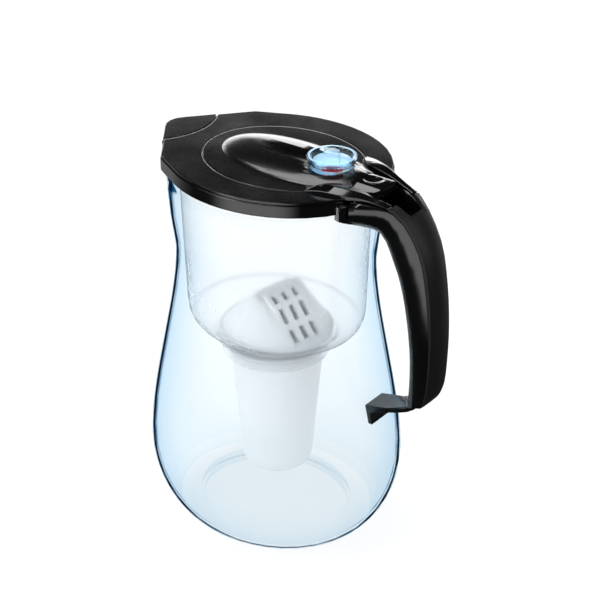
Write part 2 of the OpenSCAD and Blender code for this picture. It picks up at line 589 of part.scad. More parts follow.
knob_z = dome_base + 3.4;
knob_floor = dial_z - 3.2;      // floor of the knob's recess
module dial_knob() color([0.6, 0.78, 0.95, 0.6]) translate([dial_x, 0, 0]) {
  difference() {
    union() {
      rotate_extrude() polygon(concat(
        [[0, knob_z], [dial_foot - 0.6, knob_z], [dial_foot, knob_z + 0.6]],
        curve([[dial_foot, dome_z + 0.7], [dial_foot + 1.4, dome_z + 2.2], [dial_r, dial_z - 2.8],
               [dial_r, dial_z - 0.8]], 5),
        [[dial_r - 0.3, dial_z - 0.2], [dial_r - 0.9, dial_z], [dial_r - 2.2, dial_z], [dial_r - 3, dial_z - 0.5],
         [dial_r - 3.6, knob_floor], [0, knob_floor]]));
      translate([0, 0, dome_base - 1.6]) cylinder(r = stem_r, h = knob_z - dome_base + 2);
    }
    translate([0, 0, dome_base - 0.9]) difference() {
      cylinder(r = stem_r + 1, h = 0.8);
      translate([0, 0, -1]) cylinder(r = stem_r - 0.6, h = 3);
    }
  }
  // the grip: a low bar across the recess with a block at its far end
  rotate([0, 0, dial_turn]) {
    translate([4.6 - dial_r, -4.2, knob_floor - 0.1]) cube([2 * dial_r - 9.2, 8.4, 0.8]);
    translate([dial_r - 7.4, -4.6, knob_floor - 0.1]) cube([4.6, 9.2, 2.6]);
  }
}
module dial_clip() color([0.85, 0.85, 0.86]) translate([dial_x, 0, dome_base - 0.88]) difference() {
  cylinder(r = stem_r + 2.2, h = 0.76);
  translate([0, 0, -1]) cylinder(r = stem_r - 0.58, h = 3);
}

// ---- spout flap ---------------------------------------------------------------------------------
module spout_flap() color([0.16, 0.16, 0.17]) difference() {
  intersection() {
    union() {
      slab(lid_outline(0), lid_z - 3, lid_z);
      slab(lid_outline(0), skirt_z, lid_z - 2.9, lid_outline(skirt_t));
      for (side = [-1, 1]) translate([0, side * (flap_y - 5.6), 0]) cross_pin(flap_pivot_x, flap_pivot_z - 1, 2.2, 3.4);
    }
    union() {
      beyond_flap_gap(0);
      translate([flap_pivot_x - 3, -flap_y + 3.6, lid_z - 6]) cube([6, 2 * flap_y - 7.2, 3.4]);
    }
  }
  for (side = [-1, 1]) translate([0, side * (flap_y - 4), 0]) cross_pin(flap_pivot_x, flap_pivot_z, flap_pin_r + play, 12);
}

// ---- handle -------------------------------------------------------------------------------------
handle_in = [[belly_r + 23.2, 126], [belly_r + 24.2, 141], [belly_r + 24, 160], [belly_r + 21.6, 181],
             [hinge_x + 29.8, jug_h - 51], [hinge_x + 23.4, jug_h - 32], [hinge_x + 14.4, jug_h - 14.8],
             [hinge_x + 1, jug_h - 11.4]];
handle_out = [[belly_r + 34, 129.4], [belly_r + 37.4, 141], [belly_r + 38.6, 160], [belly_r + 38.4, 181],
              [hinge_x + 48.2, jug_h - 46], [hinge_x + 41.6, jug_h - 19], [hinge_x + 25.6, lid_z - 5.5],
              [hinge_x + 1, shelf_z]];
handle_crown = [1, 1, 1, 1.2, 1.7, 2.1, 1.5, 1];
handle_half = [grip_y - 0.6, grip_y, grip_y, grip_y, grip_y, grip_y + 0.6, grip_y + 3.6, collar_y];
collar_low = handle_in[7][1] - 1;
cover_end = 6.14;              // where the soft back ends, counted in knots
handle_t = concat([for (k = [0:18]) k / 3], [cover_end], [for (k = [19:3 * (len(handle_in) - 1)]) k / 3]);
function core_section(t) =
  let (a = through(handle_in, t), b = through(handle_out, t), w = through(handle_half, t), d = norm(b - a),
       n = (b - a) / d, arch = smooth((t - 5) / 2), c = mix(3, 0.55 * w, arch), e = mix(3, 7, arch),
       f = mix(0.3, 2.2, smooth((t - 6.2) / 0.8)),
       s = [[0, c - w], [0.26 * e, 0.42 * c - w], [e, 0.4 - w], [mix(0.5, 0.6, arch) * d, -w], [d - f, -w], [d, f - w]])
  [for (p = concat(s, [for (i = [5:-1:0]) [s[i][0], -s[i][1]]])) [a[0] + n[0] * p[0], p[1], a[1] + n[1] * p[0]]];
function cover_section(t) =
  let (a = through(handle_in, t), b = through(handle_out, t), w = through(handle_half, t) - 0.3, n = (b - a) / norm(b - a),
       h = crown * through(handle_crown, t) * smooth((t + 0.3) / 0.6))
  [for (p = [[0, -w], [0.4 * h, -0.97 * w], [0.8 * h, -0.66 * w], [h, 0], [0.8 * h, 0.66 * w], [0.4 * h, 0.97 * w], [0, w]])
    [b[0] + n[0] * p[0], p[1], b[1] + n[1] * p[0]]];

// The hollow behind the tab: its plan is cut straight down, and its floor follows the tab's swing.
scoop_end = [tab_x + 14.4, 8.4];     // middle and radius of its rounded end
scoop_plan = concat(
  [[hinge_x - 8, neck_y + 0.9], [tab_x - 2, neck_y - 0.1], [tab_x + 3, neck_y - 1.4]],
  [for (turn = [80:-16:-80]) [scoop_end[0] + scoop_end[1] * cos(turn), scoop_end[1] * sin(turn)]],
  [[tab_x + 3, 1.4 - neck_y], [tab_x - 2, 0.1 - neck_y], [hinge_x - 8, -neck_y - 0.9]]);
scoop_drop = [[-16, -10], [-16, 3.4], [2.4, 3.4], [4.6, 9.4], [7, 12.6], [12, 13], [22, 11.2], [29, 7.8], [33.4, 3.2],
              [35, -3], [35, -10]];
scoop_floor = [for (p = scoop_drop) [hinge_x + p[0], hinge_z - p[1]]];
module scoop() intersection() {
  slab(scoop_plan, jug_h - 24, dome_z + 10);
  side_slab(scoop_floor, 60);
}

collar_r = neck_r + 8.4;
collar_arch = 62;              // radius of its lower edge, which rises toward both ends
function collar_arc(r, from, to) =
  [for (i = [0:20]) let (turn = mix(from, to, i / 20)) [lean + r * cos(turn), r * oval * sin(turn)]];
module collar() intersection() {
  slab(concat(collar_arc(collar_r, -36, 36), collar_arc(rim_r + 0.3, 36, -36)), collar_low, collar_z);
  slab(collar_wedge(0), collar_low - 10, lid_z);
  translate([50, 0, collar_low + collar_arch]) rotate([0, 90, 0]) cylinder(r = collar_arch, h = 50, $fn = 128);
}

foot_line = [[-7.8, 114.9], [9.4, 119.4], [24, 126.4], [29.4, 128.4], [29.4, 126.4], [24, 122.4], [16.4, 118.8],
             [7.4, 115.4], [foot_t - 6.2, 110.4], [foot_t - 4.9, 102.4], [-4.9, 102.4]];
foot_side = [for (p = foot_line) [belly_r + p[0], p[1]]];
module handle_core() color([0.06, 0.06, 0.06]) difference() {
  union() {
    loft([for (t = handle_t) core_section(t)]);
    collar();
    side_slab(foot_side, 2 * foot_y);
  }
  scoop();
  slab(lid_outline(-gap), collar_z, lid_z + 20);
  translate([hinge_x - 10, -ear_y[1] - 0.5, hinge_z - ear_r - 0.5]) cube([10 + ear_r + 1.5, 2 * ear_y[1] + 1, 20]);
  translate([60, -lug_y - 0.3, lug_z[0] - 0.3]) cube([lug_x + 0.3 - 60, 2 * lug_y + 0.6, lug_z[1] - lug_z[0] + 0.6]);
  translate([screw_x, 0, screw_z - 12]) cylinder(r = screw_r + 0.1, h = 18);
  translate([screw_x, 0, screw_z - 12]) cylinder(r = 3.4, h = 13.5);
}
module handle_cover() color([0.17, 0.17, 0.18]) difference() {
  loft([for (t = handle_t) if (t <= cover_end) cover_section(t)]);
  scoop();
}
module handle_screw() color([0.75, 0.75, 0.77]) translate([screw_x, 0, 0]) {
  translate([0, 0, screw_z]) cylinder(r = 3, h = 1.5);
  translate([0, 0, screw_z + 1]) cylinder(r = screw_r, h = 6.6);
}

jug();
handle_core();
handle_cover();
handle_screw();
hopper();
cartridge_cup();
cartridge_cap();
cartridge_seal();
filter_media();
top_pad();
bottom_pad();
lid_plate();
lid_skirt();
left_wing();
right_wing();
hatch_pin();
flap_pins();
hatch_frame();
hatch_dome();
hatch_liner();
dial_base();
dial_mark();
dial_knob();
dial_clip();
spout_flap();
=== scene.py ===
import json
import math

import bmesh
import bpy
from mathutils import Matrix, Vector

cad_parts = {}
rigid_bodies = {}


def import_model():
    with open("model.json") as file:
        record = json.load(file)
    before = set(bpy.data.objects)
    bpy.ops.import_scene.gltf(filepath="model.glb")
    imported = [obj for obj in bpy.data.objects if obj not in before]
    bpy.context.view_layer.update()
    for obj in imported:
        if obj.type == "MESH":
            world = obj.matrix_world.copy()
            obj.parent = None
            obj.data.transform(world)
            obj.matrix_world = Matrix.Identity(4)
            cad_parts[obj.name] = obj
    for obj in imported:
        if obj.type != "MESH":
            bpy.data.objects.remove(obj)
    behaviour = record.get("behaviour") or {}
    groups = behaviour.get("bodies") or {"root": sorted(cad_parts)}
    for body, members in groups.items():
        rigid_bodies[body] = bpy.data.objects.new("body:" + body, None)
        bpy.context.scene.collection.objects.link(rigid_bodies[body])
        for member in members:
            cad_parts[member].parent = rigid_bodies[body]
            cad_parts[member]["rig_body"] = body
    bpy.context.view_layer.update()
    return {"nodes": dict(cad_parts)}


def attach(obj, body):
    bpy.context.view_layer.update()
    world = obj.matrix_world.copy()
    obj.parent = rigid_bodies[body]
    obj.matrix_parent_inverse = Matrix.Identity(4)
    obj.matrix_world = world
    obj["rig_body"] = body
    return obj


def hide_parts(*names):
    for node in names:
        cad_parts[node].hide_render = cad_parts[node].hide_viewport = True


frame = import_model()
print("frame loaded with", len(frame["nodes"]), "nodes")


# small helpers for node trees: each adds a node and gives back its output

def link(tree, source, target):
    tree.links.new(source, target)


def mathNode(tree, operation, a, b=None, clamp=False):
    node = tree.nodes.new("ShaderNodeMath")
    node.operation = operation
    node.use_clamp = clamp
    for i, value in enumerate((a, b)):
        if value is None:
            continue
        if isinstance(value, (int, float)):
            node.inputs[i].default_value = value
        else:
            link(tree, value, node.inputs[i])
    return node.outputs[0]


def times(tree, a, b):
    return mathNode(tree, "MULTIPLY", a, b)


def rangeNode(tree, value, low, high, toLow=0.0, toHigh=1.0, smooth=False):
    node = tree.nodes.new("ShaderNodeMapRange")
    if smooth:
        node.interpolation_type = "SMOOTHSTEP"
    node.inputs["From Min"].default_value = low
    node.inputs["From Max"].default_value = high
    node.inputs["To Min"].default_value = toLow
    node.inputs["To Max"].default_value = toHigh
    link(tree, value, node.inputs["Value"])
    return node.outputs[0]


def dotNode(tree, vector, direction):
    node = tree.nodes.new("ShaderNodeVectorMath")
    node.operation = "DOT_PRODUCT"
    node.inputs[1].default_value = direction
    link(tree, vector, node.inputs[0])
    return node.outputs["Value"]


def splitNode(tree, vector):
    node = tree.nodes.new("ShaderNodeSeparateXYZ")
    link(tree, vector, node.inputs[0])
    return node.outputs


def objectPlace(tree):
    return tree.nodes.new("ShaderNodeTexCoord").outputs["Object"]


def mixColours(tree, factor, a, b):
    node = tree.nodes.new("ShaderNodeMix")
    node.data_type = "RGBA"
    for socket, value in ((node.inputs[0], factor), (node.inputs[6], a), (node.inputs[7], b)):
        if isinstance(value, tuple):
            socket.default_value = value
        else:
            link(tree, value, socket)
    return node.outputs[2]


def mixShaders(tree, factor, a, b):
    node = tree.nodes.new("ShaderNodeMixShader")
    if isinstance(factor, float):
        node.inputs[0].default_value = factor
    else:
        link(tree, factor, node.inputs[0])
    link(tree, a, node.inputs[1])
    link(tree, b, node.inputs[2])
    return node.outputs[0]


def noiseNode(tree, vector, scale, detail=3.0, rough=0.55):
    node = tree.nodes.new("ShaderNodeTexNoise")
    node.inputs["Detail"].default_value = detail
    node.inputs["Roughness"].default_value = rough
    if isinstance(scale, (int, float)):
        node.inputs["Scale"].default_value = scale
    else:
        link(tree, scale, node.inputs["Scale"])
    link(tree, vector, node.inputs["Vector"])
    return node.outputs["Fac"]


def stretchNode(tree, vector, scale, turn=(0, 0, 0)):
    node = tree.nodes.new("ShaderNodeMapping")
    node.inputs["Scale"].default_value = scale
    node.inputs["Rotation"].default_value = turn
    link(tree, vector, node.inputs["Vector"])
    return node.outputs[0]


def addBump(tree, shader, height, distance, strength=1.0):
    node = tree.nodes.new("ShaderNodeBump")
    node.inputs["Strength"].default_value = strength
    node.inputs["Distance"].default_value = distance
    link(tree, height, node.inputs["Height"])
    link(tree, node.outputs["Normal"], shader.inputs["Normal"])
    return node


def newMaterial(name):
    material = bpy.data.materials.new(name)
    material.use_nodes = True
    return material, material.node_tree, material.node_tree.nodes["Principled BSDF"]


def newGroup(name, sockets):
    # a surface group: its inputs, and colour, roughness and height out of it
    group = bpy.data.node_groups.new(name, "ShaderNodeTree")
    for label, kind, value in sockets:
        made = group.interface.new_socket(label, in_out="INPUT", socket_type=kind)
        made.default_value = value
    outputs = {"Color": "NodeSocketColor", "Roughness": "NodeSocketFloat", "Height": "NodeSocketFloat"}
    for label, kind in outputs.items():
        group.interface.new_socket(label, in_out="OUTPUT", socket_type=kind)
    return group, group.nodes.new("NodeGroupInput").outputs, group.nodes.new("NodeGroupOutput").inputs


# azimuth 0 is the front and grows to the right, in degrees

def directionTo(azimuth, height):
    a, e = math.radians(azimuth), math.radians(height)
    return Vector((math.sin(a) * math.cos(e), -math.cos(a) * math.cos(e), math.sin(e)))


def addAimed(thing, direction):
    # a camera or lamp that looks back at the object
    thing.rotation_mode = "QUATERNION"
    thing.rotation_quaternion = (-direction).to_track_quat("-Z", "Y")
    bpy.context.scene.collection.objects.link(thing)


cameraSet = {
    "azimuth": 38.372,
    "height": 29.337,
    "distance": 1.03945,
    "lens": 96.35,
    "sensor": 36,
    "near": 0.05,
    "target": (0.001, 0, 0.15895),
    "aside": 0.01599,  # the target stands left of the picture's middle
}


def placeCamera(s):
    a = math.radians(s["azimuth"])
    right = Vector((math.cos(a), math.sin(a), 0))
    back = directionTo(s["azimuth"], s["height"])
    data = bpy.data.cameras.new("camera")
    data.lens = s["lens"]
    data.sensor_width = s["sensor"]
    data.clip_start = s["near"]
    cam = bpy.data.objects.new("camera", data)
    cam.location = Vector(s["target"]) + right * s["aside"] + back * s["distance"]
    addAimed(cam, back)
    bpy.context.scene.camera = cam


def seenDirectly(tree):
    # the camera's rays, straight or through glass, before a matt surface scatters them
    path = tree.nodes.new("ShaderNodeLightPath")
    straight = mathNode(tree, "MAXIMUM", path.outputs["Is Camera Ray"], path.outputs["Is Transmission Ray"])
    return times(tree, straight, mathNode(tree, "LESS_THAN", path.outputs["Diffuse Depth"], 0.5))


def seenInGloss(tree):
    # mirror rays alone, since a ray through glass counts as glossy too
    path = tree.nodes.new("ShaderNodeLightPath")
    return mathNode(tree, "GREATER_THAN", path.outputs["Is Glossy Ray"], path.outputs["Is Transmission Ray"])


screenTurn = 218  # azimuth of the side behind the object, as the camera sees it

# gloss sees a dark room, a pale rim at table height and a white screen behind the object
worldSet = {
    "soft": (0.95, 1.5),  # matt light, far side and near side
    "softTone": (0.96, 0.98, 1, 1),
    "softTurn": -30,
    "softLean": (0.9, 0.4),
    "softFade": (-0.6, 0.95),
    "screen": 1.3,
    "screenWidth": (0.35, 0.75),
    "screenTop": (0.29, 0.41),
    "room": 0.014,
    "rim": 0.08,
    "rimTop": 0.25,
}


def buildWorld(s):
    world = bpy.data.worlds.new("studio")
    bpy.context.scene.world = world
    world.use_nodes = True
    tree = world.node_tree
    place = tree.nodes.new("ShaderNodeTexCoord").outputs["Generated"]
    height = splitNode(tree, place)["Z"]

    matt = tree.nodes["Background"]
    matt.inputs["Color"].default_value = s["softTone"]
    out, up = s["softLean"]
    lean = directionTo(s["softTurn"], 0) * out
    toward = dotNode(tree, place, (lean.x, lean.y, up))
    link(tree, rangeNode(tree, toward, *s["softFade"], *s["soft"], smooth=True), matt.inputs["Strength"])

    mirror = tree.nodes.new("ShaderNodeBackground")
    behind = dotNode(tree, place, directionTo(screenTurn, 0))
    screen = times(tree, rangeNode(tree, behind, *s["screenWidth"], 0, s["screen"], smooth=True),
                   rangeNode(tree, height, *s["screenTop"], 1, 0, smooth=True))
    rim = rangeNode(tree, height, 0, s["rimTop"], s["rim"], s["room"], smooth=True)
    link(tree, mathNode(tree, "ADD", screen, rim), mirror.inputs["Strength"])

    white = tree.nodes.new("ShaderNodeBackground")
    white.inputs["Color"].default_value = (1, 1, 1, 1)
    unseen = mixShaders(tree, seenInGloss(tree), matt.outputs[0], mirror.outputs[0])
    seen = mixShaders(tree, seenDirectly(tree), unseen, white.outputs[0])
    link(tree, seen, tree.nodes["World Output"].inputs[0])


# in gloss the table is lit behind the object, dark before it, with a bright strip at the front
floorSet = {
    "size": 8.0,
    "drop": 0.0002,
    "tone": (0.8, 0.8, 0.8, 1),
    "glow": 0.8,  # share that shines by itself where it is seen; the rest keeps the shadow
    "tableDepth": (0.05, 0.6),
    "table": (0.05, 0.8),
    "strip": 2.4,
    "stripTurn": 4,
    "stripWidth": (0.74, 0.97),
    "stripStart": (0.38, 0.5),
}


def makeFloorGloss(tree, s):
    place = objectPlace(tree)
    table = rangeNode(tree, dotNode(tree, place, directionTo(screenTurn, 0)), *s["tableDepth"], *s["table"])
    level = tree.nodes.new("ShaderNodeVectorMath")
    level.operation = "NORMALIZE"
    link(tree, place, level.inputs[0])
    reach = tree.nodes.new("ShaderNodeVectorMath")
    reach.operation = "LENGTH"
    link(tree, place, reach.inputs[0])
    along = dotNode(tree, level.outputs[0], directionTo(s["stripTurn"], 0))
    strip = times(tree, rangeNode(tree, along, *s["stripWidth"], 0, s["strip"], smooth=True),
                  rangeNode(tree, reach.outputs["Value"], *s["stripStart"], smooth=True))
    shine = tree.nodes.new("ShaderNodeEmission")
    link(tree, mathNode(tree, "ADD", table, strip), shine.inputs["Strength"])
    return shine.outputs[0]


def makeFloorMaterial(s):
    material, tree, unused = newMaterial("paleFloor")
    tree.nodes.remove(unused)
    matt = tree.nodes.new("ShaderNodeBsdfDiffuse")
    matt.inputs["Color"].default_value = s["tone"]
    glow = tree.nodes.new("ShaderNodeEmission")
    glow.inputs["Strength"].default_value = 1.0
    # it also lights the pieces from below
    path = tree.nodes.new("ShaderNodeLightPath")
    below = mathNode(tree, "GREATER_THAN", path.outputs["Diffuse Depth"], 0.5)
    share = mathNode(tree, "MAXIMUM", times(tree, seenDirectly(tree), s["glow"]), below)
    plain = mixShaders(tree, share, matt.outputs[0], glow.outputs[0])
    final = mixShaders(tree, seenInGloss(tree), plain, makeFloorGloss(tree, s))
    link(tree, final, tree.nodes["Material Output"].inputs[0])
    return material


def buildFloor(s):
    bm = bmesh.new()
    bmesh.ops.create_grid(bm, x_segments=1, y_segments=1, size=s["size"] / 2)
    mesh = bpy.data.meshes.new("floor")
    bm.to_mesh(mesh)
    bm.free()
    mesh.materials.append(makeFloorMaterial(s))
    floor = bpy.data.objects.new("floor", mesh)
    floor.location.z = -s["drop"]
    bpy.context.scene.collection.objects.link(floor)


# each softbox is aimed at a point on the jug's middle line
lampSet = {
    "overhead": {"azimuth": -55, "height": 68, "away": 0.9, "size": (0.75, 0.5), "power": 7},
    "backPanel": {"azimuth": screenTurn, "height": 12, "away": 0.45, "size": (0.8, 0.2), "power": 1.4},
    "frontLeft": {"azimuth": -25, "height": 30, "away": 1.7, "size": (0.35, 1.2), "power": 14},
    "frontRight": {"azimuth": 95, "height": 25, "away": 1.6, "size": (0.35, 1.3), "power": 6},
}
aimHeight = 0.2


def hangLamp(name, s):
    data = bpy.data.lights.new(name, "AREA")
    data.shape = "RECTANGLE"
    data.size, data.size_y = s["size"]
    data.energy = s["power"]
    lamp = bpy.data.objects.new(name, data)
    back = directionTo(s["azimuth"], s["height"])
    lamp.location = Vector((0, 0, aimHeight)) + back * s["away"]
    lamp.visible_camera = False
    lamp.visible_transmission = False
    addAimed(lamp, back)


placeCamera(cameraSet)
buildWorld(worldSet)
buildFloor(floorSet)
for name, s in lampSet.items():
    hangLamp(name, s)
bpy.context.scene.view_settings.view_transform = "Standard"
print("camera and studio placed")


# noise scales are in waves per metre
mouldedSet = {
    "clouds": 28.0,
    "cloudy": (0.3, 0.7),
    "scratchScale": (60, 900, 420),
    "scratchTurn": (0.3, 0.5, 0.7),
    "scratchCut": (0.66, 0.74),
    "edgeCut": (0.53, 0.62),
    "edgeClouds": (0.35, 0.7),
    "upward": (0.75, 1.0),
    "specks": 340.0,
    "speckCut": (0.45, 0.75),
    "dustTone": (0.5, 0.5, 0.49, 1),
}


def makeMouldedGroup(s):
    # moulded plastic: clouded tone, fine grain, hairline scratches, wear on edges and dust on top
    group, into, out = newGroup("mouldedSurface", [
        ("Base", "NodeSocketColor", (0.02, 0.02, 0.02, 1)),
        ("Worn", "NodeSocketColor", (0.1, 0.1, 0.1, 1)),
        ("Roughness", "NodeSocketFloat", 0.3),
        ("Grain Scale", "NodeSocketFloat", 900.0),
        ("Grain", "NodeSocketFloat", 0.3),
        ("Scratches", "NodeSocketFloat", 0.3),
        ("Dust", "NodeSocketFloat", 0.05),
    ])
    place = objectPlace(group)
    geometry = group.nodes.new("ShaderNodeNewGeometry")
    cloud = noiseNode(group, place, s["clouds"], 4.0)
    grain = noiseNode(group, place, into["Grain Scale"], 2.0, 0.6)

    drawn = stretchNode(group, place, s["scratchScale"], s["scratchTurn"])
    hair = rangeNode(group, noiseNode(group, drawn, 1.0, 2.0, 0.4), *s["scratchCut"])
    hair = times(group, hair, into["Scratches"])
    edge = rangeNode(group, geometry.outputs["Pointiness"], *s["edgeCut"])
    edge = times(group, edge, rangeNode(group, cloud, *s["edgeClouds"]))
    upward = rangeNode(group, splitNode(group, geometry.outputs["Normal"])["Z"], *s["upward"])
    speck = rangeNode(group, noiseNode(group, place, s["specks"], 4.0, 0.7), *s["speckCut"])
    dust = times(group, times(group, upward, speck), into["Dust"])

    tone = mixColours(group, rangeNode(group, cloud, *s["cloudy"], 0.0, 0.35), into["Base"], into["Worn"])
    tone = mixColours(group, times(group, edge, 0.6), tone, into["Worn"])
    tone = mixColours(group, times(group, hair, 0.25), tone, into["Worn"])
    link(group, mixColours(group, dust, tone, s["dustTone"]), out["Color"])

    rough = mathNode(group, "ADD", into["Roughness"], rangeNode(group, cloud, *s["cloudy"], -0.03, 0.04))
    rough = mathNode(group, "ADD", rough, times(group, hair, 0.12))
    link(group, mathNode(group, "ADD", rough, times(group, dust, 0.8), clamp=True), out["Roughness"])
    height = times(group, grain, into["Grain"])
    link(group, mathNode(group, "SUBTRACT", height, times(group, hair, 0.5)), out["Height"])
    return group


moulded = makeMouldedGroup(mouldedSet)
grainStrength = 0.6
roundingSamples = 12

# rounded: radius by which the shading softens hard edges
plasticFinishes = {
    "satinBlack": {
        "base": (0.0012, 0.0012, 0.0013), "worn": (0.0025, 0.0025, 0.0028), "rough": 0.13,
        "grainScale": 1500, "grain": 0.4, "scratches": 0.1, "dust": 0.001, "bump": 0.000001,
        "rounded": 0.0006,
    },
    "glossBlack": {
        "base": (0.001, 0.001, 0.0011), "worn": (0.0025, 0.0025, 0.0028), "rough": 0.12,
        "grainScale": 500, "grain": 0.1, "scratches": 0.1, "dust": 0.001, "bump": 0.000001,
        "rounded": 0.0009,
    },
    "domeBlack": {
        "base": (0.001, 0.001, 0.0011), "worn": (0.002, 0.002, 0.0022), "rough": 0.21,
        "grainScale": 500, "grain": 0.0, "scratches": 0.1, "dust": 0.002, "bump": 0.000003,
    },
    "softBlack": {
        "base": (0.003, 0.003, 0.0033), "worn": (0.007, 0.007, 0.0075), "rough": 0.48, "specular": 0.3,
        "grainScale": 2200, "grain": 0.9, "scratches": 0.15, "dust": 0.04, "bump": 0.00003,
    },
    "whitePlastic": {
        "base": (0.8, 0.79, 0.79), "worn": (0.74, 0.76, 0.78), "rough": 0.4,
        "grainScale": 1300, "grain": 0.5, "scratches": 0.2, "dust": 0.02, "bump": 0.00002,
    },
    "greyPlastic": {
        "base": (0.94, 0.955, 0.96), "worn": (0.88, 0.9, 0.91), "rough": 0.42,
        "grainScale": 1300, "grain": 0.5, "scratches": 0.2, "dust": 0.02, "bump": 0.00002,
    },
    "sealRubber": {
        "base": (0.6, 0.62, 0.64), "worn": (0.45, 0.46, 0.48), "rough": 0.55,
        "grainScale": 2200, "grain": 0.8, "scratches": 0.1, "dust": 0.02, "bump": 0.00003,
    },
    "redMark": {
        "base": (0.55, 0.03, 0.04), "worn": (0.38, 0.03, 0.035), "rough": 0.35,
        "grainScale": 1500, "grain": 0.5, "scratches": 0.2, "dust": 0.0, "bump": 0.00001,
    },
    "paleBluePlastic": {
        "base": (0.5, 0.74, 0.88), "worn": (0.38, 0.6, 0.76), "rough": 0.3,
        "grainScale": 1500, "grain": 0.4, "scratches": 0.2, "dust": 0.0, "bump": 0.00001,
    },
}


def makePlastic(name, s):
    material, tree, shader = newMaterial(name)
    shader.inputs["Specular IOR Level"].default_value = s.get("specular", 0.5)
    surface = tree.nodes.new("ShaderNodeGroup")
    surface.node_tree = moulded
    surface.inputs["Base"].default_value = (*s["base"], 1)
    surface.inputs["Worn"].default_value = (*s["worn"], 1)
    surface.inputs["Roughness"].default_value = s["rough"]
    surface.inputs["Grain Scale"].default_value = s["grainScale"]
    surface.inputs["Grain"].default_value = s["grain"]
    surface.inputs["Scratches"].default_value = s["scratches"]
    surface.inputs["Dust"].default_value = s["dust"]
    link(tree, surface.outputs["Color"], shader.inputs["Base Color"])
    link(tree, surface.outputs["Roughness"], shader.inputs["Roughness"])
    bump = addBump(tree, shader, surface.outputs["Height"], s["bump"], grainStrength)
    if "rounded" in s:
        rounded = tree.nodes.new("ShaderNodeBevel")
        rounded.samples = roundingSamples
        rounded.inputs["Radius"].default_value = s["rounded"]
        link(tree, rounded.outputs[0], bump.inputs["Normal"])
    return material


clearSet = {
    "smears": 16.0,
    "smearCut": (0.45, 0.75),
    "waves": 9.0,
    "scratchScale": (500, 40, 300),
    "scratchCut": (0.7, 0.76),
}


def makeClearGroup(s):
    # clear moulding: faint smears, the slow waves of the mould and fine scratches
    group, into, out = newGroup("clearSurface", [
        ("Tint", "NodeSocketColor", (0.95, 0.98, 1, 1)),
        ("Haze", "NodeSocketColor", (0.9, 0.94, 0.97, 1)),
        ("Roughness", "NodeSocketFloat", 0.02),
        ("Smears", "NodeSocketFloat", 0.03),
    ])
    place = objectPlace(group)
    smear = rangeNode(group, noiseNode(group, place, s["smears"], 5.0, 0.6), *s["smearCut"])
    wave = noiseNode(group, place, s["waves"], 1.0, 0.4)
    drawn = stretchNode(group, place, s["scratchScale"])
    hair = rangeNode(group, noiseNode(group, drawn, 1.0, 2.0, 0.4), *s["scratchCut"])
    link(group, mixColours(group, smear, into["Tint"], into["Haze"]), out["Color"])
    rough = mathNode(group, "ADD", into["Roughness"], times(group, smear, into["Smears"]))
    link(group, mathNode(group, "ADD", rough, times(group, hair, 0.03), clamp=True), out["Roughness"])
    link(group, mathNode(group, "SUBTRACT", wave, times(group, hair, 0.02)), out["Height"])
    return group


clear = makeClearGroup(clearSet)
waveStrength = 0.15
coatRough = 0.02


def planCentre(node):
    points = [v.co for v in frame["nodes"][node].data.vertices]
    return [(min(p[i] for p in points) + max(p[i] for p in points)) / 2 for i in (0, 1)]


dialAxis = planCentre("dial_knob")

